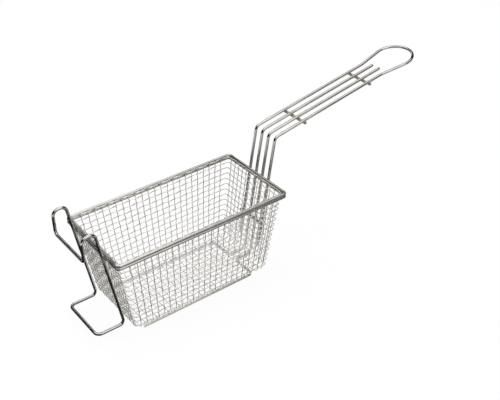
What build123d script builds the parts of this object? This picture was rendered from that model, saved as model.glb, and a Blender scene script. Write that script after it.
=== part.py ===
from build123d import *
import os
from math import asin, atan2, ceil, cos, pi, radians, sin, sqrt, tan

os.makedirs("parts", exist_ok=True)

# Wire fryer basket in millimetres. X runs from the hooks to the handle, Y across and Z up.
# The origin is on the floor, under the middle of the basket.

# Wire stock
rim_rod = 4.0
handle_rod = 4.0
hook_rod = 4.0
bar_rod = 4.0
cloth_wire = 1.2
# Welded rods lie this far apart, and the two layers of the cloth too
touch_gap = 0.1
weave_gap = 0.1
# Rods have flat sides, and a bend is a row of straight runs on its arc that turn by no more than this
rod_sides = 16
rod_turn = radians(15.5)
cloth_turn = radians(46)

# Rim, measured to the middle of its rods
rim_length = 248.0
rim_width = 122.5
rim_corner = 4.5

# Basket body, measured to the middle of the cloth: its depth below the upper rim rod and its flat floor
basket_depth = 118.0
floor_length = 201.0
floor_width = 99.0

# Wire cloth: spacing on the floor and down the walls, and how far from a corner the last upright meets the rim
cross_pitch = 8.55
long_pitch = 7.2
hoop_pitch = 7.9
cross_margin = 13.2
long_margin = 6.6
cloth_bend = 6.0
hoop_corner = 3.5
upright_stub = 1.0

# Handle: four rods up the end wall, an elbow above the rim, and a grip that closes in a loop
elbow_rise = 58.4
elbow_bend = 8.5
handle_rise = radians(10.5)
handle_length = 260.0
outer_spacing = 39.0
inner_spacing = 13.0
outer_end_height = 22.0
flare_length = 43.0
flare_bend = 40.0
loop_radius = 26.5
inner_setback = 61.0

# Cross bars: one under the grip near the elbow, one set back from the loop's end, one on the end wall
bar_overhang = 2.0
elbow_bar_place = 50.0
grip_bar_setback = 92.5
wall_bar_height = 59.0

# Skids: the inner rods turn under the floor, spread to its edges and run to the hook end
foot_bend = 9.0
spread_bend = 6.5
spread_setback = 18.5
skid_margin = 4.5
skid_setback = 11.5

# Hooks above the rim and bumper at the foot, bent from one closed rod
hook_spacing = 70.0
hook_width = 16.9
hook_rise = 36.4
hook_drop = 32.6
hook_bend = 8.0
hook_end_bend = 5.0
bumper_length = 38.4
bumper_height = 12.4
bumper_bend = 7.0
leg_bend = 6.0

# Each cloth wire is drawn square, with the area of the round wire
wire_side = cloth_wire * sqrt(pi) / 2
layer = (cloth_wire + weave_gap) / 2
# The cloth's floor lies on the skids
skid_height = handle_rod / 2
cloth_floor = handle_rod + touch_gap + layer + wire_side / 2
rim_height = cloth_floor + basket_depth
lower_rim_height = rim_height - rim_rod - touch_gap
upright_top = rim_height + upright_stub
elbow_height = rim_height + elbow_rise
# The cloth's uprights lie against the inside of the rim
rim_to_cloth = rim_rod / 2 + touch_gap + layer + wire_side / 2
end_slope = ((rim_length - floor_length) / 2 - rim_to_cloth) / basket_depth
side_slope = ((rim_width - floor_width) / 2 - rim_to_cloth) / basket_depth


def wall_x(height):
    """Distance of an end wall's cloth from the middle."""
    return floor_length / 2 + end_slope * (height - cloth_floor)


def wall_y(height):
    """Distance of a side wall's cloth from the middle."""
    return floor_width / 2 + side_slope * (height - cloth_floor)


def leg_x(height, rod):
    """Distance from the middle of a rod that runs up an end wall and is welded to the outside of the rim."""
    off_rim = ((rim_rod + rod) / 2 + touch_gap) * sqrt(1 + end_slope**2)
    return rim_length / 2 + off_rim + end_slope * (height - lower_rim_height)


def on_handle(along, across, below=0.0):
    """Point of the grip's plane, measured from the elbow, across, and square below the plane."""
    x = leg_x(elbow_height, handle_rod) + along * cos(handle_rise) + below * sin(handle_rise)
    z = elbow_height + along * sin(handle_rise) - below * cos(handle_rise)
    return Vector(x, across, z)


def arc(middle, start, end, turn, step):
    """Points on the arc about the middle from start to end, which are both counted from the middle."""
    runs = ceil(turn / step)
    for k in range(runs + 1):
        share = k / runs
        yield middle + (start * sin((1 - share) * turn) + end * sin(share * turn)) / sin(turn)


def bent(corners, bends, step, closed=False):
    """Points of a wire that turns at these corners, each rounded to its own bend radius."""
    corners = [Vector(corner) for corner in corners]
    points = [] if closed else [corners[0]]
    for i, bend in enumerate(bends, start=0 if closed else 1):
        corner = corners[i]
        before = (corners[i - 1] - corner).normalized()
        after = (corners[(i + 1) % len(corners)] - corner).normalized()
        turn = pi - radians(before.get_angle(after))
        reach = bend * tan(turn / 2)
        middle = corner + (before + after).normalized() * bend / cos(turn / 2)
        start = corner + before * reach - middle
        end = corner + after * reach - middle
        points.extend(arc(middle, start, end, turn, step))
    return points if closed else points + [corners[-1]]


# Rim: two closed rods, one on the other
for name, height in (("upper_rim_rod", rim_height), ("lower_rim_rod", lower_rim_height)):
    rim_half = bent(
        [
            (rim_length / 2, 0, height),
            (rim_length / 2, rim_width / 2, height),
            (-rim_length / 2, rim_width / 2, height),
            (-rim_length / 2, 0, height),
        ],
        [rim_corner, rim_corner],
        rod_turn,
    )
    with BuildPart() as rim:
        with BuildLine() as path:
            Polyline(*rim_half)
        with BuildSketch(Plane(path.line @ 0, z_dir=path.line % 0)):
            RegularPolygon(rim_rod / 2, rod_sides)
        sweep(path=path.line, transition=Transition.RIGHT)
        mirror(about=Plane.XZ)
    rim.part.label = name
    export_step(rim.part, f"parts/{name}.step")

# Cloth wires that run down one side wall, across under the floor and up the other side wall.
# They fan out from their spacing on the floor to a wider one at the rim.
cross_each_side = int((floor_length / 2 - cloth_bend) / cross_pitch)
cross_rim_pitch = (wall_x(rim_height) - cross_margin) / cross_each_side
under_floor = cloth_floor - layer

with BuildPart() as cross_wires:
    for i in range(-cross_each_side, cross_each_side + 1):
        top = Vector(i * cross_rim_pitch, wall_y(upright_top) + layer, upright_top)
        low = Vector(i * cross_pitch, wall_y(under_floor) + layer, under_floor)
        far_side = [top, low]
        near_side = [Vector(p.X, -p.Y, p.Z) for p in reversed(far_side)]
        with BuildLine() as path:
            Polyline(*bent(far_side + near_side, [cloth_bend, cloth_bend], cloth_turn))
        with BuildSketch(Plane(path.line @ 0, x_dir=(1, 0, 0), z_dir=path.line % 0)):
            Rectangle(wire_side, wire_side)
        sweep(path=path.line, transition=Transition.RIGHT, clean=False)
cross_wires.part.label = "cross_wires"
export_step(cross_wires.part, "parts/cross_wires.step")

# Cloth wires that run down one end wall, along on top of the cross wires and up the other end wall
long_each_side = int((floor_width / 2 - cloth_bend) / long_pitch)
long_rim_pitch = (wall_y(rim_height) - long_margin) / long_each_side
over_floor = cloth_floor + layer

with BuildPart() as long_wires:
    for i in range(-long_each_side, long_each_side + 1):
        top = Vector(wall_x(upright_top) + layer, i * long_rim_pitch, upright_top)
        low = Vector(wall_x(over_floor) + layer, i * long_pitch, over_floor)
        handle_end = [top, low]
        hook_end = [Vector(-p.X, p.Y, p.Z) for p in reversed(handle_end)]
        with BuildLine() as path:
            Polyline(*bent(handle_end + hook_end, [cloth_bend, cloth_bend], cloth_turn))
        with BuildSketch(Plane(path.line @ 0, x_dir=(0, 1, 0), z_dir=path.line % 0)):
            Rectangle(wire_side, wire_side)
        sweep(path=path.line, transition=Transition.RIGHT, clean=False)
long_wires.part.label = "long_wires"
export_step(long_wires.part, "parts/long_wires.step")

# Cloth wires that run round inside the uprights, from the rim down to the start of the floor's bend
lowest_hoop = cloth_floor + cloth_bend + wire_side / 2
hoop_count = int((rim_height - lowest_hoop) / hoop_pitch) + 1

with BuildPart() as hoop_wires:
    for k in range(hoop_count):
        height = rim_height - k * hoop_pitch
        x = wall_x(height) - layer
        y = wall_y(height) - layer
        corners = [Vector(x, y), Vector(-x, y), Vector(-x, -y), Vector(x, -y)]
        with BuildSketch(Plane.XY.offset(height)) as ring:
            with BuildLine():
                Polyline(*bent(corners, [hoop_corner] * 4, cloth_turn, closed=True), close=True)
            make_face()
            offset(amount=wire_side / 2, kind=Kind.INTERSECTION)
            offset(amount=-wire_side, kind=Kind.INTERSECTION, mode=Mode.SUBTRACT)
        extrude(amount=wire_side / 2, both=True)
hoop_wires.part.label = "hoop_wires"
export_step(hoop_wires.part, "parts/hoop_wires.step")

# Outer handle wire: up the end wall, round the elbow, along the grip, round the loop and back
loop_middle = handle_length - loop_radius
flare_side = outer_spacing / 2
to_middle = sqrt(flare_length**2 + flare_side**2)
flare_angle = asin(loop_radius / to_middle) - atan2(flare_side, flare_length)
loop_half = [
    on_handle(loop_middle + point.X, point.Y)
    for point in arc(
        Vector(0, 0),
        Vector(-sin(flare_angle), cos(flare_angle)) * loop_radius,
        Vector(1, 0) * loop_radius,
        pi / 2 + flare_angle,
        rod_turn,
    )
]
outer_half = bent(
    [
        (leg_x(outer_end_height, handle_rod), flare_side, outer_end_height),
        on_handle(0, flare_side),
        on_handle(loop_middle - flare_length, flare_side),
        loop_half[0],
    ],
    [elbow_bend, flare_bend],
    rod_turn,
)
far_run = outer_half[:-1] + loop_half
near_run = [Vector(point.X, -point.Y, point.Z) for point in reversed(far_run)]

with BuildPart() as outer_handle_wire:
    with BuildLine() as path:
        Polyline(*far_run, *near_run[1:])
    with BuildSketch(Plane(path.line @ 0, z_dir=path.line % 0)):
        RegularPolygon(handle_rod / 2, rod_sides)
    sweep(path=path.line, transition=Transition.RIGHT)
outer_handle_wire.part.label = "outer_handle_wire"
export_step(outer_handle_wire.part, "parts/outer_handle_wire.step")

# Inner handle wires: from a free end by the loop down the end wall, under the floor and along it as skids
spread_x = floor_length / 2 - spread_setback
skid_y = floor_width / 2 - skid_margin
skid_end = floor_length / 2 - skid_setback

for side, across in (("far", 1), ("near", -1)):
    inner_run = bent(
        [
            on_handle(handle_length - inner_setback, across * inner_spacing / 2),
            on_handle(0, across * inner_spacing / 2),
            (leg_x(skid_height, handle_rod), across * inner_spacing / 2, skid_height),
            (spread_x, across * inner_spacing / 2, skid_height),
            (spread_x, across * skid_y, skid_height),
            (-skid_end, across * skid_y, skid_height),
        ],
        [elbow_bend, foot_bend, spread_bend, spread_bend],
        rod_turn,
    )
    with BuildPart() as inner_handle_wire:
        with BuildLine() as path:
            Polyline(*inner_run)
        with BuildSketch(Plane(path.line @ 0, z_dir=path.line % 0)):
            RegularPolygon(handle_rod / 2, rod_sides)
        sweep(path=path.line, transition=Transition.RIGHT)
    inner_handle_wire.part.label = f"{side}_inner_handle_wire"
    export_step(inner_handle_wire.part, f"parts/{side}_inner_handle_wire.step")

# Cross bars: under the four rods of the grip, and between the four legs and the cloth
bar_length = outer_spacing + 2 * bar_overhang
rods_apart = (handle_rod + bar_rod) / 2 + touch_gap
bar_places = {
    "elbow_bar": on_handle(elbow_bar_place, 0, below=rods_apart),
    "grip_bar": on_handle(handle_length - grip_bar_setback, 0, below=rods_apart),
    "wall_bar": Vector(
        leg_x(wall_bar_height, handle_rod) - rods_apart * sqrt(1 + end_slope**2), 0, wall_bar_height
    ),
}
for name, place in bar_places.items():
    with BuildPart() as cross_bar:
        with BuildSketch(Plane(place, z_dir=(0, 1, 0))):
            RegularPolygon(bar_rod / 2, rod_sides)
        extrude(amount=bar_length / 2, both=True)
    cross_bar.part.label = name
    export_step(cross_bar.part, f"parts/{name}.step")

# Hook wire: one closed rod that makes the bumper, both legs, both hooks and the bar between their ends
hook_top = rim_height + hook_rise
hook_bottom = hook_top - hook_drop
hook_reach = leg_x(hook_top, hook_rod) + hook_width
bumper_reach = leg_x(bumper_height, hook_rod) + bumper_length
hook_half = bent(
    [
        (-bumper_reach, 0, bumper_height),
        (-bumper_reach, hook_spacing / 2, bumper_height),
        (-leg_x(bumper_height, hook_rod), hook_spacing / 2, bumper_height),
        (-leg_x(hook_top, hook_rod), hook_spacing / 2, hook_top),
        (-hook_reach, hook_spacing / 2, hook_top),
        (-hook_reach, hook_spacing / 2, hook_bottom),
        (-hook_reach, 0, hook_bottom),
    ],
    [bumper_bend, leg_bend, hook_bend, hook_bend, hook_end_bend],
    rod_turn,
)

with BuildPart() as hook_wire:
    with BuildLine() as path:
        Polyline(*hook_half)
    with BuildSketch(Plane(path.line @ 0, z_dir=path.line % 0)):
        RegularPolygon(hook_rod / 2, rod_sides)
    sweep(path=path.line, transition=Transition.RIGHT)
    mirror(about=Plane.XZ)
hook_wire.part.label = "hook_wire"
export_step(hook_wire.part, "parts/hook_wire.step")
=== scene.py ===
"""Wire fryer basket: rods, woven cloth, welds and finish, made around the packed frame."""
from math import asin, atan2, ceil, cos, hypot, pi, radians, sin, sqrt, tan

import bpy
import numpy as np
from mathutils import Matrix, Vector


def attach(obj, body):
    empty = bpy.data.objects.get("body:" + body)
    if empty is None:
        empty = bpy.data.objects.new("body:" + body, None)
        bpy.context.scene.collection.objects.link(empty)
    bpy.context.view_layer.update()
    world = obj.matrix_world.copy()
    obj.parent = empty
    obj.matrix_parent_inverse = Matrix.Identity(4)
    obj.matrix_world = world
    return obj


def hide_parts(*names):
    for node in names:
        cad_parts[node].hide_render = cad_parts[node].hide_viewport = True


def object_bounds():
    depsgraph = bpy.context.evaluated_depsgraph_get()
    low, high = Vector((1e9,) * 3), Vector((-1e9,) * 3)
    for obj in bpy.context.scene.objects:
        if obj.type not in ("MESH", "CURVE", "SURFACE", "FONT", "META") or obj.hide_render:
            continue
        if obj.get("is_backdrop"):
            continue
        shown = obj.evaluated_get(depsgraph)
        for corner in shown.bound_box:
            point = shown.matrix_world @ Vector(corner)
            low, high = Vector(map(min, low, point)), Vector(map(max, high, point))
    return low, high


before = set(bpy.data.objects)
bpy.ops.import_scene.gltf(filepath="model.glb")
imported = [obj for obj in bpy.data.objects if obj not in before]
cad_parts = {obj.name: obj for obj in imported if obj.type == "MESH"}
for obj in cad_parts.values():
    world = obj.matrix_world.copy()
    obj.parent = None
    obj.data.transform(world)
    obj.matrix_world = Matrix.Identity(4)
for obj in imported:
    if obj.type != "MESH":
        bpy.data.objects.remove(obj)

bl_info = {
    "name": "Fryer Basket",
    "version": (1, 0, 0),
    "blender": (4, 5, 0),
    "location": "3D View > Sidebar > Basket",
    "description": "Models a plated wire fryer basket and its stage",
    "category": "Object",
}

MM = 0.001
CAD_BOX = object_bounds()


# Properties


def length(name, description, millimetres):
    """A length that the user can change."""
    return bpy.props.FloatProperty(
        name=name,
        description=description,
        default=millimetres * MM,
        min=0.0,
        precision=5,
        unit="LENGTH",
        subtype="DISTANCE",
    )


def colour(name, description, red, green, blue):
    """A colour that the user can change."""
    return bpy.props.FloatVectorProperty(
        name=name,
        description=description,
        default=(red, green, blue),
        min=0.0,
        max=1.0,
        size=3,
        subtype="COLOR",
    )


def factor(name, description, default):
    """A share from 0 to 1 that the user can change."""
    return bpy.props.FloatProperty(
        name=name, description=description, default=default, min=0.0, max=1.0, subtype="FACTOR"
    )


class BasketRods(bpy.types.PropertyGroup):
    """Rim, bars and hooks."""

    rod: length("Rod", "Thickness of every rod", 4.0)
    touch: length("Weld gap", "Gap between rods that are welded to each other", 0.1)
    rim_length: length("Rim length", "Length of the rim, to the middle of its rod", 248.0)
    rim_width: length("Rim width", "Width of the rim, to the middle of its rod", 122.5)
    rim_corner: length("Rim corner", "Bend radius of the rim's corners", 4.5)
    bar_overhang: length("Bar overhang", "How far a cross bar reaches past the outer rods", 2.0)
    elbow_bar: length("Elbow bar", "Distance of the first cross bar from the elbow", 50.0)
    grip_bar: length("Grip bar", "Distance of the second cross bar from the grip's tip", 92.5)
    wall_bar: length("Wall bar", "Height of the cross bar on the end wall", 59.0)
    hook_spacing: length("Hook spacing", "Distance between the two hooks", 70.0)
    hook_width: length("Hook width", "Reach of a hook past its leg", 16.9)
    hook_rise: length("Hook rise", "Height of the hooks above the rim", 36.4)
    hook_drop: length("Hook drop", "Length of a hook's front", 32.6)
    hook_bend: length("Hook bend", "Bend radius at the top of a hook", 8.0)
    hook_end_bend: length("Hook end bend", "Bend radius where the hooks' fronts are joined", 5.0)
    bumper_length: length("Bumper length", "Reach of the bumper past the legs", 38.4)
    bumper_height: length("Bumper height", "Height of the bumper's rod", 12.4)
    bumper_bend: length("Bumper bend", "Bend radius of the bumper's corners", 7.0)
    leg_bend: length("Leg bend", "Bend radius where the bumper turns up into the legs", 6.0)


class BasketCloth(bpy.types.PropertyGroup):
    """Woven wire cloth."""

    wire: length("Wire", "Thickness of the cloth's wires", 1.2)
    gap: length("Wire gap", "Gap between wires that cross", 0.04)
    depth: length("Depth", "Depth of the cloth's floor below the rim", 118.0)
    floor_length: length("Floor length", "Length of the floor", 201.0)
    floor_width: length("Floor width", "Width of the floor", 99.0)
    floor_height: length("Floor height", "Height of the middle of the floor's cloth", 5.2817)
    rim_inset: length("Rim inset", "Distance of the cloth from the middle of the rim's rod", 3.2817)
    cross_pitch: length("Cross pitch", "Spacing of the short wires on the floor", 8.55)
    long_pitch: length("Long pitch", "Spacing of the long wires on the floor", 7.2)
    hoop_pitch: length("Hoop pitch", "Spacing of the hoops down the walls", 7.9)
    cross_margin: length("Cross margin", "Last short wire's distance from the corner at the rim", 13.2)
    long_margin: length("Long margin", "Last long wire's distance from the corner at the rim", 6.6)
    floor_bend: length("Floor bend", "Bend radius between the walls and the floor", 6.0)
    corner: length("Wall corner", "Bend radius of the upright corners", 3.5)
    stub: length("Stub", "How far the uprights stand above the middle of the rim's rod", 1.0)


class BasketHandle(bpy.types.PropertyGroup):
    """Handle and skids."""

    elbow_rise: length("Elbow rise", "Height of the elbow above the rim", 58.4)
    elbow_bend: length("Elbow bend", "Bend radius of the elbow", 8.5)
    slope: bpy.props.FloatProperty(
        name="Slope", description="Rise of the grip", default=radians(10.5), unit="ROTATION", subtype="ANGLE"
    )
    reach: length("Length", "Length of the grip, from the elbow to its tip", 260.0)
    outer_spacing: length("Outer spacing", "Distance between the outer rods", 39.0)
    inner_spacing: length("Inner spacing", "Distance between the inner rods", 13.0)
    outer_end: length("Outer end", "Height at which the outer rods end", 22.0)
    flare: length("Flare", "Length over which the outer rods run out to the loop", 43.0)
    flare_bend: length("Flare bend", "Bend radius where they start to run out", 40.0)
    loop: length("Loop", "Radius of the loop at the tip", 26.5)
    inner_setback: length("Inner setback", "Distance of the inner rods' ends from the tip", 61.0)
    foot_bend: length("Foot bend", "Bend radius where the inner rods turn under the floor", 9.0)
    spread_bend: length("Spread bend", "Bend radius of the turns under the floor", 6.5)
    spread_setback: length("Spread setback", "Distance of the spread from the floor's end", 18.5)
    skid_margin: length("Skid margin", "Distance of a skid from the floor's side", 4.5)
    skid_setback: length("Skid setback", "Distance of a skid's end from the floor's end", 11.5)


class BasketFinish(bpy.types.PropertyGroup):
    """Colours and polish."""

    plating: colour("Plating", "Colour of the bright plating", 0.66, 0.65, 0.62)
    shade: colour("Plating shade", "Duller tone in the plating", 0.54, 0.53, 0.50)
    cloth_plating: colour("Cloth plating", "Colour of the cloth's plating", 0.95, 0.93, 0.90)
    cloth_shade: colour("Cloth shade", "Duller tone in the cloth's plating", 0.84, 0.82, 0.78)
    tint: colour("Weld tint", "Brown of the plating close to a weld", 0.36, 0.33, 0.27)
    polish: factor("Roughness", "Roughness of the rods", 0.04)
    cloth_polish: factor("Cloth roughness", "Roughness of the cloth", 0.18)
    cloth_metal: factor("Cloth metal", "How much of a mirror the cloth's plating is, the rest being matt", 0.85)
    floor: colour("Floor", "Colour of the studio floor", 0.9, 0.9, 0.9)


# Sizes that follow from the properties


class Layout:
    """The sizes of one basket, in metres, with those that follow from them."""

    def __init__(self, scene):
        self.rods = scene.basket_rods
        self.cloth = scene.basket_cloth
        self.handle = scene.basket_handle
        rods, cloth, handle = self.rods, self.cloth, self.handle
        self.rim_height = cloth.floor_height + cloth.depth
        self.lower_rim_height = self.rim_height - rods.rod - rods.touch
        self.upright_top = self.rim_height + cloth.stub
        self.elbow_height = self.rim_height + handle.elbow_rise
        self.end_slope = ((rods.rim_length - cloth.floor_length) / 2 - cloth.rim_inset) / cloth.depth
        self.side_slope = ((rods.rim_width - cloth.floor_width) / 2 - cloth.rim_inset) / cloth.depth
        self.cross_count = int((cloth.floor_length / 2 - cloth.floor_bend) / cloth.cross_pitch)
        self.long_count = int((cloth.floor_width / 2 - cloth.floor_bend) / cloth.long_pitch)
        self.cross_rim_pitch = (self.wall_x(self.rim_height) - cloth.cross_margin) / self.cross_count
        self.long_rim_pitch = (self.wall_y(self.rim_height) - cloth.long_margin) / self.long_count
        lowest = cloth.floor_height + cloth.floor_bend + cloth.wire / 2
        self.hoop_count = int((self.rim_height - lowest) / cloth.hoop_pitch) + 1
        self.hoops = [self.rim_height - k * cloth.hoop_pitch for k in range(self.hoop_count)]
        # Welded rods that cross lie this far apart, from middle to middle
        self.apart = rods.rod + rods.touch
        # A woven wire swings this far to each side of the cloth's middle
        self.swing = (cloth.wire + cloth.gap) / 2

    def wall_x(self, height):
        """Distance of an end wall's cloth from the middle."""
        return self.cloth.floor_length / 2 + self.end_slope * (height - self.cloth.floor_height)

    def wall_y(self, height):
        """Distance of a side wall's cloth from the middle."""
        return self.cloth.floor_width / 2 + self.side_slope * (height - self.cloth.floor_height)

    def leg_x(self, height):
        """Distance from the middle of a rod that runs up an end wall outside the rim."""
        off_rim = self.apart * sqrt(1 + self.end_slope**2)
        return self.rods.rim_length / 2 + off_rim + self.end_slope * (height - self.lower_rim_height)

    def on_grip(self, along, across, below=0.0):
        """Point of the grip's plane, from the elbow, across, and square below the plane."""
        slope = self.handle.slope
        x = self.leg_x(self.elbow_height) + along * cos(slope) + below * sin(slope)
        z = self.elbow_height + along * sin(slope) - below * cos(slope)
        return Vector((x, across, z))

    def across(self, i, height):
        """Place of cross wire i along the basket, at a height on a side wall."""
        share = (height - self.cloth.floor_height) / (self.upright_top - self.cloth.floor_height)
        return i * (self.cloth.cross_pitch + (self.cross_rim_pitch - self.cloth.cross_pitch) * share)

    def along(self, j, height):
        """Place of long wire j across the basket, at a height on an end wall."""
        share = (height - self.cloth.floor_height) / (self.upright_top - self.cloth.floor_height)
        return j * (self.cloth.long_pitch + (self.long_rim_pitch - self.cloth.long_pitch) * share)

    def welds(self):
        """Places where rods are welded to each other, with the direction from one rod to the other."""
        handle, rods = self.handle, self.rods
        places = []
        grip_down = self.on_grip(0, 0, 1) - self.on_grip(0, 0)
        leg_out = Vector((1, 0, -self.end_slope)).normalized()
        for side in (-1, 1):
            for spacing in (handle.outer_spacing, handle.inner_spacing):
                y = side * spacing / 2
                for place in (rods.elbow_bar, handle.reach - rods.grip_bar):
                    places.append((self.on_grip(place, y, self.apart / 2), grip_down))
                leg = Vector((self.leg_x(rods.wall_bar), y, rods.wall_bar))
                places.append((leg - leg_out * self.apart / 2, leg_out))
                leg = Vector((self.leg_x(self.lower_rim_height), y, self.lower_rim_height))
                places.append((leg - leg_out * self.apart / 2, leg_out))
            hook_x = -self.leg_x(self.lower_rim_height)
            leg = Vector((hook_x, side * rods.hook_spacing / 2, self.lower_rim_height))
            hook_out = Vector((-leg_out.x, 0, leg_out.z))
            places.append((leg - hook_out * self.apart / 2, hook_out))
        return places


# Materials


# Noise in the plating: turns to a metre, and how fine its detail is
PATCH_NOISE = (55.0, 3.0)
CLOUD_NOISE = (420.0, 3.0)
GRAIN_NOISE = (2600.0, 2.0)
NOISE_MIDDLE = 0.5
# The noise level at which a patch starts to be dull, and how sharply it starts
PATCH_LEVEL = 0.42
PATCH_CONTRAST = 3.0
CLOUD_CONTRAST = 1.5
CLOUD_ROUGHNESS = 0.04
CLOUD_RELIEF = 2.0
RELIEF_HEIGHT = 0.1 * MM
# How strong the tint of a weld is without and with the noise, and what it takes from the polish
TINT_LEAST = 0.55
TINT_CLOUD = 0.9
TINT_ROUGHNESS = 0.25
TINT_DULLNESS = 0.5


class Maths:
    """A number in a material, on which the usual operators add Math nodes."""

    def __init__(self, material, socket):
        self.material = material
        self.socket = socket

    def combine(self, operation, first, second):
        node = self.material.node("ShaderNodeMath", {"operation": operation}, {0: first, 1: second})
        return Maths(self.material, node.outputs[0])

    def __add__(self, other):
        return self.combine("ADD", self, other)

    __radd__ = __add__

    def __sub__(self, other):
        return self.combine("SUBTRACT", self, other)

    def __rsub__(self, other):
        return self.combine("SUBTRACT", other, self)

    def __mul__(self, other):
        return self.combine("MULTIPLY", self, other)

    __rmul__ = __mul__


class Finish:
    """A material or world and its nodes."""

    def __init__(self, data):
        data.use_nodes = True
        self.data = data
        self.tree = data.node_tree
        self.tree.nodes.clear()

    def node(self, kind, settings=None, sockets=None):
        """A node with its settings set, and its sockets given values or links."""
        node = self.tree.nodes.new(kind)
        for name, value in (settings or {}).items():
            setattr(node, name, value)
        for name, value in (sockets or {}).items():
            if isinstance(value, Maths):
                value = value.socket
            if isinstance(value, bpy.types.NodeSocket):
                self.tree.links.new(value, node.inputs[name])
            else:
                node.inputs[name].default_value = value
        return node

    def number(self, node, output=0):
        return Maths(self, node.outputs[output])

    def noise(self, places, scale, detail):
        sockets = {"Vector": places, "Scale": scale, "Detail": detail}
        return self.number(self.node("ShaderNodeTexNoise", {}, sockets), "Fac")

    def clamped(self, value):
        return self.number(self.node("ShaderNodeClamp", {}, {"Value": value}))

    def mixed(self, share, first, second):
        """A colour between two others. The mix node has its colours at inputs 6 and 7 and output 2."""
        settings = {"data_type": "RGBA", "clamp_factor": True}
        return self.node("ShaderNodeMix", settings, {0: share, 6: first, 7: second}).outputs[2]


def plated(name, bright, shade, tint, roughness, wander, metal, relief):
    """Bright plating, duller in patches and browned next to the welds."""
    steel = Finish(bpy.data.materials.new(name))
    places = steel.node("ShaderNodeTexCoord").outputs["Object"]
    patches = steel.noise(places, *PATCH_NOISE)
    cloud = steel.noise(places, *CLOUD_NOISE)
    grain = steel.noise(places, *GRAIN_NOISE)
    heat = steel.number(steel.node("ShaderNodeAttribute", {"attribute_name": "weld_heat"}), "Fac")
    ragged = steel.clamped(heat * (TINT_LEAST + cloud * TINT_CLOUD))
    mottle = (cloud - NOISE_MIDDLE) * CLOUD_CONTRAST
    dull = steel.clamped((patches - PATCH_LEVEL) * PATCH_CONTRAST + mottle)
    base = steel.mixed(dull, (*bright, 1), (*shade, 1))
    base = steel.mixed(ragged, base, (*tint, 1))
    smear = (cloud - NOISE_MIDDLE) * CLOUD_ROUGHNESS
    rough = roughness + dull * wander + smear + ragged * TINT_ROUGHNESS
    bump = steel.node(
        "ShaderNodeBump",
        {},
        {"Strength": relief, "Distance": RELIEF_HEIGHT, "Height": grain + cloud * CLOUD_RELIEF},
    )
    shader = steel.node(
        "ShaderNodeBsdfPrincipled",
        {},
        {
            "Base Color": base,
            "Metallic": metal - ragged * TINT_DULLNESS,
            "Roughness": rough,
            "Normal": bump.outputs[0],
        },
    )
    steel.node("ShaderNodeOutputMaterial", {}, {"Surface": shader.outputs[0]})
    return steel.data


def rod_plating(scene):
    """The rods' material, made the first time that it is asked for."""
    finish = scene.basket_finish
    made = bpy.data.materials.get("rod_finish")
    return made or plated(
        "rod_finish",
        finish.plating,
        finish.shade,
        finish.tint,
        roughness=finish.polish,
        wander=0.06,
        metal=1.0,
        relief=0.03,
    )


def cloth_plating(scene):
    """The cloth's material, made the first time that it is asked for."""
    finish = scene.basket_finish
    made = bpy.data.materials.get("cloth_finish")
    return made or plated(
        "cloth_finish",
        finish.cloth_plating,
        finish.cloth_shade,
        finish.tint,
        roughness=finish.cloth_polish,
        wander=0.14,
        metal=finish.cloth_metal,
        relief=0.04,
    )


# Modelling


ROD_SIDES = 24
BEND_STEP = radians(9)
RUN_STEP = 4 * MM
END_CHAMFER = 0.35 * MM
# A run shorter than this is no run, and points closer than this are one point
NO_RUN = 0.0001 * MM
ONE_POINT = 0.01 * MM
# An edge sharper than this stays sharp in the shading
SHARP_EDGE = radians(40)
# How far the tint reaches from the middle of a rod's weld, and from the top of an upright
WELD_REACH = 5.5 * MM
TOP_REACH = 2.0 * MM


def start_clean():
    """Object mode with nothing selected."""
    if bpy.context.object and bpy.context.object.mode != "OBJECT":
        bpy.ops.object.mode_set(mode="OBJECT")
    bpy.ops.object.select_all(action="DESELECT")


def run_on(step):
    """Carries the selected ring on in a straight line, in short steps."""
    if step.length < NO_RUN:
        return
    count = max(1, ceil(step.length / RUN_STEP))
    bpy.ops.mesh.extrude_repeat(steps=count, offset=step / count)


def close_ends():
    """Closes both ends of a rod and takes off their sharp edge."""
    bpy.ops.mesh.select_all(action="DESELECT")
    bpy.ops.mesh.select_non_manifold(
        extend=False,
        use_wire=False,
        use_boundary=True,
        use_multi_face=False,
        use_non_contiguous=False,
        use_verts=False,
    )
    bpy.ops.mesh.fill_holes(sides=0)
    bpy.ops.mesh.select_all(action="DESELECT")
    bpy.ops.mesh.select_face_by_sides(number=ROD_SIDES, type="EQUAL")
    bpy.ops.mesh.region_to_loop()
    bpy.ops.mesh.bevel(offset=END_CHAMFER, segments=2, affect="EDGES")


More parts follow.
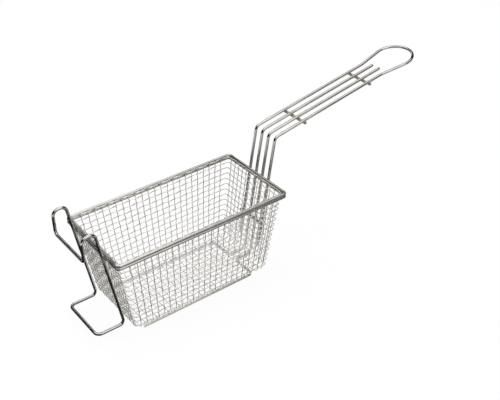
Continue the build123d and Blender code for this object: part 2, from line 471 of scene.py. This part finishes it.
def bent_rod(name, thickness, corners, bends, closed=False):
    """A round rod from end to end through its corners: a ring, carried on and spun round each bend.

    A closed rod starts halfway to its second corner, so that it has a bend at every corner.
    """
    corners = [Vector(corner) for corner in corners]
    if closed:
        corners.append(corners[0])
        middle = (corners[0] + corners[1]) / 2
        corners = [middle, *corners[1:], middle]
    heading = (corners[1] - corners[0]).normalized()
    start_clean()
    bpy.ops.mesh.primitive_circle_add(
        vertices=ROD_SIDES,
        radius=thickness / 2,
        fill_type="NOTHING",
        location=corners[0],
        rotation=heading.to_track_quat("Z", "Y").to_euler(),
    )
    rod = bpy.context.object
    rod.name = name
    rod.data.name = name
    bpy.ops.object.transform_apply(location=True, rotation=True, scale=True)
    bpy.ops.object.mode_set(mode="EDIT")
    bpy.ops.mesh.select_mode(type="EDGE")
    bpy.ops.mesh.select_all(action="SELECT")
    place = corners[0]
    for before, corner, after, bend in zip(corners, corners[1:], corners[2:], bends):
        into = (corner - before).normalized()
        out = (after - corner).normalized()
        turn = into.angle(out)
        reach = bend * tan(turn / 2)
        run_on(corner - into * reach - place)
        centre = corner + (out - into).normalized() * bend / cos(turn / 2)
        bpy.ops.mesh.spin(
            steps=ceil(turn / BEND_STEP),
            angle=turn,
            center=centre,
            axis=out.cross(into).normalized(),
            use_auto_merge=False,
        )
        place = corner + out * reach
    run_on(corners[-1] - place)
    bpy.ops.mesh.select_all(action="SELECT")
    bpy.ops.mesh.remove_doubles(threshold=ONE_POINT)
    if not closed:
        close_ends()
    finish_mesh()
    return rod


def finish_mesh():
    """Turns all faces outwards and leaves edit mode with smooth shading."""
    bpy.ops.mesh.select_all(action="SELECT")
    bpy.ops.mesh.normals_make_consistent(inside=False)
    bpy.ops.mesh.select_all(action="DESELECT")
    bpy.ops.object.mode_set(mode="OBJECT")
    bpy.ops.object.shade_smooth_by_angle(angle=SHARP_EDGE)


def warm_near_welds(piece, places, reach):
    """Notes on each point how close it lies to a weld, for the tint of the plating."""
    points = np.empty(len(piece.data.vertices) * 3)
    piece.data.vertices.foreach_get("co", points)
    points = points.reshape(-1, 3)
    nearest = np.full(len(points), np.inf)
    for place in places:
        nearest = np.minimum(nearest, np.linalg.norm(points - np.array(place), axis=1))
    heat = np.exp(-((nearest / reach) ** 2)).astype(np.float32)
    piece.data.attributes.new("weld_heat", "FLOAT", "POINT").data.foreach_set("value", heat)


def add_to_basket(piece, slot, material, *nodes):
    """Gives a finished piece its material, hangs it on the basket's root and hides the nodes that it replaces.
    """
    piece.data.materials.clear()
    piece.data.materials.append(material)
    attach(piece, "root")
    if nodes:
        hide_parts(*nodes)


def finish_rod(context, piece, *nodes):
    """Tints a rod or the beads next to the welds, and adds the piece to the basket."""
    plan = Layout(context.scene)
    warm_near_welds(piece, [place for place, _ in plan.welds()], WELD_REACH)
    add_to_basket(piece, "plated_rod", rod_plating(context.scene), *nodes)


class BASKET_OT_rim(bpy.types.Operator):
    """Model the two closed rods of the rim"""

    bl_idname = "basket.rim"
    bl_label = "Rim"
    bl_options = {"REGISTER", "UNDO"}

    def execute(self, context):
        plan = Layout(context.scene)
        rods = plan.rods
        x, y = rods.rim_length / 2, rods.rim_width / 2
        for name, height in (("upper_rim", plan.rim_height), ("lower_rim", plan.lower_rim_height)):
            corners = [(x, -y, height), (x, y, height), (-x, y, height), (-x, -y, height)]
            rod = bent_rod(name, rods.rod, corners, [rods.rim_corner] * 4, closed=True)
            finish_rod(context, rod, f"{name}_rod")
        return {"FINISHED"}


class BASKET_OT_handle(bpy.types.Operator):
    """Model the outer rod of the handle with its loop, and the two inner rods that run on as skids"""

    bl_idname = "basket.handle"
    bl_label = "Handle and skids"
    bl_options = {"REGISTER", "UNDO"}

    def execute(self, context):
        plan = Layout(context.scene)
        self.outer(context, plan)
        self.inner(context, plan)
        return {"FINISHED"}

    def outer(self, context, plan):
        handle = plan.handle
        side = handle.outer_spacing / 2
        loop_middle = handle.reach - handle.loop
        run = hypot(handle.flare, side)
        flare_angle = asin(handle.loop / run) - atan2(side, handle.flare)
        # The loop is one bend of half a turn and more, made as two bends that meet at the tip
        half_turn = (pi / 2 + flare_angle) / 2
        tip = handle.loop * tan(half_turn)
        far = [
            (plan.leg_x(handle.outer_end), side, handle.outer_end),
            plan.on_grip(0, side),
            plan.on_grip(loop_middle - handle.flare, side),
            plan.on_grip(handle.reach, tip),
        ]
        near = [(x, -y, z) for x, y, z in reversed(far)]
        bends = [handle.elbow_bend, handle.flare_bend, handle.loop]
        rod = bent_rod("outer_handle_rod", plan.rods.rod, far + near, bends + bends[::-1])
        finish_rod(context, rod, "outer_handle_wire")

    def inner(self, context, plan):
        handle, cloth = plan.handle, plan.cloth
        skid_height = plan.rods.rod / 2
        spread_x = cloth.floor_length / 2 - handle.spread_setback
        skid_y = cloth.floor_width / 2 - handle.skid_margin
        skid_end = cloth.floor_length / 2 - handle.skid_setback
        bends = [handle.elbow_bend, handle.foot_bend, handle.spread_bend, handle.spread_bend]
        for name, side in (("far", 1), ("near", -1)):
            y = side * handle.inner_spacing / 2
            corners = [
                plan.on_grip(handle.reach - handle.inner_setback, y),
                plan.on_grip(0, y),
                (plan.leg_x(skid_height), y, skid_height),
                (spread_x, y, skid_height),
                (spread_x, side * skid_y, skid_height),
                (-skid_end, side * skid_y, skid_height),
            ]
            rod = bent_rod(f"{name}_inner_handle_rod", plan.rods.rod, corners, bends)
            finish_rod(context, rod, f"{name}_inner_handle_wire")


class BASKET_OT_cross_bars(bpy.types.Operator):
    """Model the three short bars across the handle's rods"""

    bl_idname = "basket.cross_bars"
    bl_label = "Cross bars"
    bl_options = {"REGISTER", "UNDO"}

    def execute(self, context):
        plan = Layout(context.scene)
        rods, handle = plan.rods, plan.handle
        reach = handle.outer_spacing / 2 + rods.bar_overhang
        wall_x = plan.leg_x(rods.wall_bar) - plan.apart * sqrt(1 + plan.end_slope**2)
        places = {
            "elbow": plan.on_grip(rods.elbow_bar, 0, plan.apart),
            "grip": plan.on_grip(handle.reach - rods.grip_bar, 0, plan.apart),
            "wall": Vector((wall_x, 0, rods.wall_bar)),
        }
        for name, middle in places.items():
            ends = [middle + Vector((0, side * reach, 0)) for side in (-1, 1)]
            rod = bent_rod(f"{name}_cross_bar", rods.rod, ends, [])
            finish_rod(context, rod, f"{name}_bar")
        return {"FINISHED"}


class BASKET_OT_hooks(bpy.types.Operator):
    """Model the closed rod that makes the bumper, the legs and the two hooks"""

    bl_idname = "basket.hooks"
    bl_label = "Hooks and bumper"
    bl_options = {"REGISTER", "UNDO"}

    def execute(self, context):
        plan = Layout(context.scene)
        rods = plan.rods
        top = plan.rim_height + rods.hook_rise
        bottom = top - rods.hook_drop
        reach = plan.leg_x(top) + rods.hook_width
        bumper = plan.leg_x(rods.bumper_height) + rods.bumper_length
        half = [
            (-bumper, rods.bumper_height, rods.bumper_bend),
            (-plan.leg_x(rods.bumper_height), rods.bumper_height, rods.leg_bend),
            (-plan.leg_x(top), top, rods.hook_bend),
            (-reach, top, rods.hook_bend),
            (-reach, bottom, rods.hook_end_bend),
        ]
        y = rods.hook_spacing / 2
        corners = [(x, y, z) for x, z, _ in half] + [(x, -y, z) for x, z, _ in reversed(half)]
        bends = [bend for _, _, bend in half]
        bends = bends[1:] + bends[::-1] + bends[:1]
        rod = bent_rod("hook_rod", rods.rod, corners, bends, closed=True)
        finish_rod(context, rod, "hook_wire")
        return {"FINISHED"}


# Woven cloth


# Steps of a wire from one crossing to the next, round the floor's bend and round an upright corner
WAVE_STEPS = 4
BEND_STATIONS = 8
CORNER_STATIONS = 6
# Gives a round wire eight sides
WIRE_RESOLUTION = 2


def on_wall(plan, height, place, along_x):
    """Point of a wall at a height, and the wall's outward direction."""
    if along_x:
        return Vector((place, plan.wall_y(height), height)), Vector((0, 1, 0))
    return Vector((plan.wall_x(height), place, height)), Vector((1, 0, 0))


def woven(stations, start, end, swing):
    """Points of a wire from one crossing to the next, as it swings through the cloth."""
    travelled = [0.0]
    for (a, _), (b, _) in zip(stations, stations[1:]):
        travelled.append(travelled[-1] + (b - a).length)
    for (place, outward), far in zip(stations, travelled):
        share = (1 - cos(pi * far / travelled[-1])) / 2
        yield place + outward * swing * (start + (end - start) * share)


def between(first, second):
    """Stations in a straight line from one crossing to the next."""
    (a, up_a), (b, up_b) = first, second
    shares = [k / WAVE_STEPS for k in range(WAVE_STEPS + 1)]
    return [(a.lerp(b, share), up_a.lerp(up_b, share).normalized()) for share in shares]


def round_the_floor(first, second, corner, bend):
    """Stations from the lowest crossing on a wall, round the bend, to the first crossing of the floor."""
    (a, up_a), (b, up_b) = first, second
    into = (corner - a).normalized()
    out = (b - corner).normalized()
    turn = into.angle(out)
    reach = bend * tan(turn / 2)
    middle = corner + (out - into).normalized() * bend / cos(turn / 2)
    start = corner - into * reach - middle
    end = corner + out * reach - middle
    stations = [first]
    for k in range(BEND_STATIONS + 1):
        share = k / BEND_STATIONS
        offset = (start * sin((1 - share) * turn) + end * sin(share * turn)) / sin(turn)
        stations.append((middle + offset, offset.normalized()))
    stations.append(second)
    return stations


def mirrored(crossing, along_x):
    """A crossing of the opposite wall."""
    flip = Vector((1, -1, 1)) if along_x else Vector((-1, 1, 1))
    place, outward = crossing
    return place * flip, outward * flip


def upright_track(plan, index, along_x):
    """Points of one wire that runs down a wall, under the floor and up the opposite wall."""
    cloth, swing = plan.cloth, plan.swing
    spot = plan.across if along_x else plan.along
    wall = [on_wall(plan, height, spot(index, height), along_x) for height in plan.hoops]
    count = plan.long_count if along_x else plan.cross_count
    pitch = cloth.long_pitch if along_x else cloth.cross_pitch
    own = index * (cloth.cross_pitch if along_x else cloth.long_pitch)
    down = Vector((0, 0, -1))

    def on_floor(place):
        return Vector((own, place, cloth.floor_height) if along_x else (place, own, cloth.floor_height))

    floor = [(on_floor(other * pitch), down) for other in range(count, -count - 1, -1)]
    corner = on_floor(cloth.floor_width / 2 if along_x else cloth.floor_length / 2)
    other_corner = mirrored((corner, down), along_x)[0]
    back = [mirrored(crossing, along_x) for crossing in reversed(wall)]
    crossings = wall + floor + back
    sign = -1 if index % 2 else 1
    top_place, top_out = on_wall(plan, plan.upright_top, spot(index, plan.upright_top), along_x)
    points = [top_place + top_out * swing * sign]
    for n, (first, second) in enumerate(zip(crossings, crossings[1:])):
        if n == len(wall) - 1:
            stations = round_the_floor(first, second, corner, cloth.floor_bend)
        elif n == len(wall) + len(floor) - 1:
            stations = round_the_floor(first, second, other_corner, cloth.floor_bend)
        else:
            stations = between(first, second)
        points.extend(list(woven(stations, sign, -sign, swing))[:-1])
        sign = -sign
    place, outward = crossings[-1]
    points.append(place + outward * swing * sign)
    place, outward = mirrored((top_place, top_out), along_x)
    points.append(place + outward * swing * sign)
    return points


def hoop_track(plan, k):
    """Points of one wire that runs round the four walls, inside and outside the uprights in turn."""
    cloth, swing = plan.cloth, plan.swing
    height = plan.hoops[k]
    columns = range(-plan.cross_count, plan.cross_count + 1)
    rows = range(plan.long_count, -plan.long_count - 1, -1)
    side = [on_wall(plan, height, plan.across(i, height), True) for i in columns]
    end = [on_wall(plan, height, plan.along(j, height), False) for j in rows]
    near = [mirrored(crossing, True) for crossing in reversed(side)]
    hook = [mirrored(crossing, False) for crossing in reversed(end)]
    x, y = plan.wall_x(height) - cloth.corner, plan.wall_y(height) - cloth.corner
    walls = [side, end, near, hook]
    quarters = ((1, 1), (1, -1), (-1, -1), (-1, 1))
    centres = [Vector((right * x, far * y, height)) for right, far in quarters]
    sign = 1 if (k + plan.cross_count) % 2 else -1
    points = []
    for wall, following, centre in zip(walls, walls[1:] + walls[:1], centres):
        for first, second in zip(wall, wall[1:]):
            points.extend(list(woven(between(first, second), sign, -sign, swing))[:-1])
            sign = -sign
        stations = round_the_corner(wall[-1], following[0], centre, cloth.corner)
        points.extend(list(woven(stations, sign, -sign, swing))[:-1])
        sign = -sign
    return points


def round_the_corner(first, second, centre, radius):
    """Stations of a hoop from the last crossing of a wall, round the corner, to the next wall's first."""
    (_, out_a), (_, out_b) = first, second
    stations = [first]
    for n in range(CORNER_STATIONS + 1):
        turned = pi / 2 * n / CORNER_STATIONS
        outward = out_a * cos(turned) + out_b * sin(turned)
        stations.append((centre + outward * radius, outward))
    stations.append(second)
    return stations


def wires(name, tracks, thickness, closed):
    """One piece with a round wire along each track."""
    start_clean()
    bpy.ops.curve.primitive_nurbs_path_add(location=(0, 0, 0))
    piece = bpy.context.object
    piece.name = name
    curve = piece.data
    curve.splines.clear()
    for track in tracks:
        spline = curve.splines.new("POLY")
        spline.points.add(len(track) - 1)
        spline.points.foreach_set("co", [value for point in track for value in (*point, 1.0)])
        spline.use_cyclic_u = closed
    curve.dimensions = "3D"
    curve.twist_mode = "Z_UP" if closed else "MINIMUM"
    curve.bevel_depth = thickness / 2
    curve.bevel_resolution = WIRE_RESOLUTION
    curve.use_fill_caps = True
    bpy.ops.object.convert(target="MESH")
    piece.data.name = name
    bpy.ops.object.mode_set(mode="EDIT")
    bpy.ops.mesh.select_all(action="SELECT")
    bpy.ops.mesh.remove_doubles(threshold=ONE_POINT)
    finish_mesh()
    return piece


class BASKET_OT_cloth(bpy.types.Operator):
    """Weave the cloth from its short wires, its long wires and its hoops"""

    bl_idname = "basket.cloth"
    bl_label = "Wire cloth"
    bl_options = {"REGISTER", "UNDO"}

    def execute(self, context):
        plan = Layout(context.scene)
        material = cloth_plating(context.scene)
        cross = [upright_track(plan, i, True) for i in range(-plan.cross_count, plan.cross_count + 1)]
        long = [upright_track(plan, j, False) for j in range(-plan.long_count, plan.long_count + 1)]
        hoops = [hoop_track(plan, k) for k in range(plan.hoop_count)]
        tops = [place for track in cross + long for place in (track[0], track[-1])]
        for name, tracks, closed in (("cross", cross, False), ("long", long, False), ("hoop", hoops, True)):
            piece = wires(f"cloth_{name}_wires", tracks, plan.cloth.wire, closed)
            warm_near_welds(piece, tops, TOP_REACH)
            add_to_basket(piece, "plated_cloth", material, f"{name}_wires")
        return {"FINISHED"}


# A bead of weld, its height along the line between the two rods, and how uneven it is
BEAD_RADIUS = 1.7 * MM
BEAD_HEIGHT = 0.8
BEAD_UNEVEN = 0.12 * MM


class BASKET_OT_welds(bpy.types.Operator):
    """Model the small beads where rods are welded to each other"""

    bl_idname = "basket.welds"
    bl_label = "Welds"
    bl_options = {"REGISTER", "UNDO"}

    def execute(self, context):
        plan = Layout(context.scene)
        start_clean()
        beads = []
        for n, (place, towards) in enumerate(plan.welds()):
            bpy.ops.mesh.primitive_ico_sphere_add(
                subdivisions=3,
                radius=BEAD_RADIUS,
                location=place,
                rotation=towards.to_track_quat("Z", "Y").to_euler(),
                scale=(1.0, 1.0, BEAD_HEIGHT),
            )
            bpy.ops.object.transform_apply(location=True, rotation=True, scale=True)
            bpy.ops.object.mode_set(mode="EDIT")
            bpy.ops.mesh.select_all(action="SELECT")
            bpy.ops.transform.vertex_random(offset=BEAD_UNEVEN, seed=n)
            bpy.ops.mesh.vertices_smooth(factor=0.5, repeat=2)
            finish_mesh()
            beads.append(bpy.context.object)
        for bead in beads:
            bead.select_set(True)
        bpy.context.view_layer.objects.active = beads[0]
        bpy.ops.object.join()
        piece = bpy.context.object
        piece.name = "rod_welds"
        piece.data.name = "rod_welds"
        finish_rod(context, piece)
        return {"FINISHED"}


# Stage


FLOOR_SIZE = 6.0
FLOOR_DROP = 0.2 * MM
# How much of the floor that is seen is plain white, which keeps its shadows as faint as in the photo
FLOOR_WHITE = 0.92
# The room's light on things, where the room itself is seen as white, which is 1
ROOM_LIGHT = 0.7

# Lamps: name, place, size, power
LAMPS = (
    ("overhead_lamp", (0.3, 0.4, 1.6), 1.6, 14.0),
    ("left_lamp", (-1.5, 0.4, 1.1), 0.9, 9.0),
)
LAMP_AIM = Vector((0.1, 0, 0.1))

# Level cards: name, place, size, shade. Those on the floor lie 0.1 mm above one another.
LEVEL_CARDS = (
    ("far_floor_card", (0, 0, 0.0003), (3.8, 3.8), 0.8),
    ("right_floor_card", (0.75, -0.35, 0.0004), (1.1, 0.9), 0.45),
    ("front_floor_card", (0.15, -0.25, 0.0005), (0.5, 0.4), 0.3),
    ("left_floor_card", (-0.26, 0, 0.0006), (0.31, 0.6), 0.02),
    ("back_floor_card", (0.1, 0.21, 0.0005), (0.42, 0.3), 0.03),
    ("near_wall_card", (-0.02, -0.1, 0.0007), (0.34, 0.09), 0.03),
    ("under_card", (0, 0, 0.0008), (0.2, 0.1), 1.0),
    ("overhead_card", (0, 0, 3.0), (6.0, 6.0), 1.25),
)

# Upright cards in a ring: name, first and last direction and height above the floor in degrees, shade
RING_CARDS = (
    ("front_right", -71, -56, 12, 0.02),
    ("right", -56, -41, 51, 0.02),
    ("right_back", -41, 19, 45, 0.02),
    ("low_back", 19, 61, 46, 0.02),
    ("back", 79, 154, 48, 0.02),
    ("left", 154, 259, 45, 0.02),
    ("front", 259, 289, 4, 0.05),
)
RING_RADIUS = 2.0
# How far the ring reaches below the floor, the overlap of its cards, and the widest card in degrees
RING_FOOT = 0.3
RING_OVERLAP = 0.01
WIDEST_CARD = 15

# The camera that was fitted to the photo
CAMERA_PLACE = (-0.4612, -0.7450, 0.7205)
CAMERA_VIEW = Vector((0.5058, 0.6563, -0.5598))
CAMERA_LENS = 60.52
CAMERA_SENSOR = 36.0
CAMERA_NEAREST = 0.01


def seen_directly(finish):
    """1 for what is seen, in a reflection too or through glass, and 0 for light that falls on things."""
    path = finish.node("ShaderNodeLightPath")
    seen = finish.number(path, "Is Camera Ray") + finish.number(path, "Is Glossy Ray")
    return finish.clamped(seen + finish.number(path, "Is Transmission Ray"))


def reflection_card(name, location, rotation, width, height, shade):
    """A card that only the metal's reflections show."""
    start_clean()
    bpy.ops.mesh.primitive_plane_add(size=1.0, location=location, rotation=rotation)
    card = bpy.context.object
    card.name = name
    card.scale = (width, height, 1.0)
    bpy.ops.object.transform_apply(location=True, rotation=True, scale=True)
    paint = Finish(bpy.data.materials.new(name))
    glow = paint.node("ShaderNodeEmission", {}, {"Color": (shade, shade, shade, 1), "Strength": 1.0})
    paint.node("ShaderNodeOutputMaterial", {}, {"Surface": glow.outputs[0]})
    card.data.materials.append(paint.data)
    card.visible_camera = False
    card.visible_diffuse = False
    card.visible_shadow = False
    card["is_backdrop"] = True


class BASKET_OT_stage(bpy.types.Operator):
    """Set up the floor, the lamps, the cards that the metal reflects, and the camera"""

    bl_idname = "basket.stage"
    bl_label = "Stage"
    bl_options = {"REGISTER", "UNDO"}

    def execute(self, context):
        scene = context.scene
        self.floor(scene)
        self.lamps()
        self.cards()
        self.world(scene)
        self.camera(scene)
        scene.view_settings.view_transform = "Standard"
        return {"FINISHED"}

    def floor(self, scene):
        start_clean()
        bpy.ops.mesh.primitive_plane_add(size=FLOOR_SIZE, location=(0, 0, -FLOOR_DROP))
        floor = bpy.context.object
        floor.name = "studio_floor"
        bpy.ops.object.transform_apply(location=True, rotation=True, scale=True)
        paint = Finish(bpy.data.materials.new("studio_floor"))
        shade = (*scene.basket_finish.floor, 1)
        matt = paint.node("ShaderNodeBsdfDiffuse", {}, {"Color": shade})
        glow = paint.node("ShaderNodeEmission", {}, {"Color": (1, 1, 1, 1), "Strength": 1.0})
        white = seen_directly(paint) * FLOOR_WHITE
        mix = paint.node("ShaderNodeMixShader", {}, {0: white, 1: matt.outputs[0], 2: glow.outputs[0]})
        paint.node("ShaderNodeOutputMaterial", {}, {"Surface": mix.outputs[0]})
        floor.data.materials.append(paint.data)
        floor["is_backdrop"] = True

    def lamps(self):
        for name, place, size, power in LAMPS:
            start_clean()
            aim = (LAMP_AIM - Vector(place)).to_track_quat("-Z", "Y").to_euler()
            bpy.ops.object.light_add(type="AREA", location=place, rotation=aim)
            lamp = bpy.context.object
            lamp.name = name
            lamp.data.size = size
            lamp.data.energy = power
            lamp.visible_glossy = False

    def cards(self):
        """What the metal mirrors: a bright top, dark sides, and a floor that is dark near the basket."""
        for name, place, size, shade in LEVEL_CARDS:
            reflection_card(name, place, (0, 0, 0), *size, shade)
        for name, first, last, rise, shade in RING_CARDS:
            top = RING_RADIUS * tan(radians(rise))
            count = ceil((last - first) / WIDEST_CARD)
            step = radians(last - first) / count
            width = 2 * RING_RADIUS * tan(step / 2) + RING_OVERLAP
            for k in range(count):
                turn = radians(first) + step * (k + 0.5)
                place = (RING_RADIUS * cos(turn), RING_RADIUS * sin(turn), (top - RING_FOOT) / 2)
                rotation = (pi / 2, 0, turn + pi / 2)
                reflection_card(f"{name}_card_{k}", place, rotation, width, top + RING_FOOT, shade)

    def world(self, scene):
        sky = Finish(scene.world or bpy.data.worlds.new("studio"))
        scene.world = sky.data
        strength = ROOM_LIGHT + seen_directly(sky) * (1 - ROOM_LIGHT)
        glow = sky.node("ShaderNodeBackground", {}, {"Color": (1, 1, 1, 1), "Strength": strength})
        sky.node("ShaderNodeOutputWorld", {}, {"Surface": glow.outputs[0]})

    def camera(self, scene):
        rotation = CAMERA_VIEW.to_track_quat("-Z", "Y").to_euler()
        bpy.ops.object.camera_add(location=CAMERA_PLACE, rotation=rotation)
        camera = bpy.context.object
        camera.name = "photo_camera"
        camera.data.lens = CAMERA_LENS
        camera.data.sensor_width = CAMERA_SENSOR
        camera.data.sensor_fit = "HORIZONTAL"
        camera.data.clip_start = CAMERA_NEAREST
        scene.camera = camera


class BASKET_PT_sidebar(bpy.types.Panel):
    """Sizes, finish and steps of the basket"""

    bl_idname = "BASKET_PT_sidebar"
    bl_label = "Fryer Basket"
    bl_space_type = "VIEW_3D"
    bl_region_type = "UI"
    bl_category = "Basket"

    def draw(self, context):
        for step in STEPS:
            self.layout.operator(step.bl_idname)
        for name, group in GROUPS.items():
            box = self.layout.box()
            box.label(text=group.__doc__)
            for setting in group.__annotations__:
                box.prop(getattr(context.scene, name), setting)


GROUPS = {
    "basket_rods": BasketRods,
    "basket_cloth": BasketCloth,
    "basket_handle": BasketHandle,
    "basket_finish": BasketFinish,
}
STEPS = (
    BASKET_OT_rim,
    BASKET_OT_handle,
    BASKET_OT_cross_bars,
    BASKET_OT_hooks,
    BASKET_OT_cloth,
    BASKET_OT_welds,
    BASKET_OT_stage,
)


def register():
    for name, group in GROUPS.items():
        bpy.utils.register_class(group)
        setattr(bpy.types.Scene, name, bpy.props.PointerProperty(type=group))
    for step in STEPS:
        bpy.utils.register_class(step)
    bpy.utils.register_class(BASKET_PT_sidebar)


def unregister():
    bpy.utils.unregister_class(BASKET_PT_sidebar)
    for step in reversed(STEPS):
        bpy.utils.unregister_class(step)
    for name, group in GROUPS.items():
        delattr(bpy.types.Scene, name)
        bpy.utils.unregister_class(group)


def main():
    register()
    bpy.ops.basket.rim()
    bpy.ops.basket.handle()
    bpy.ops.basket.cross_bars()
    bpy.ops.basket.hooks()
    bpy.ops.basket.cloth()
    bpy.ops.basket.welds()
    bpy.ops.basket.stage()
    boxes = {"cad": CAD_BOX, "visual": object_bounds()}
    {name: [list(corner) for corner in box] for name, box in boxes.items()}


if __name__ == "__main__":
    main()
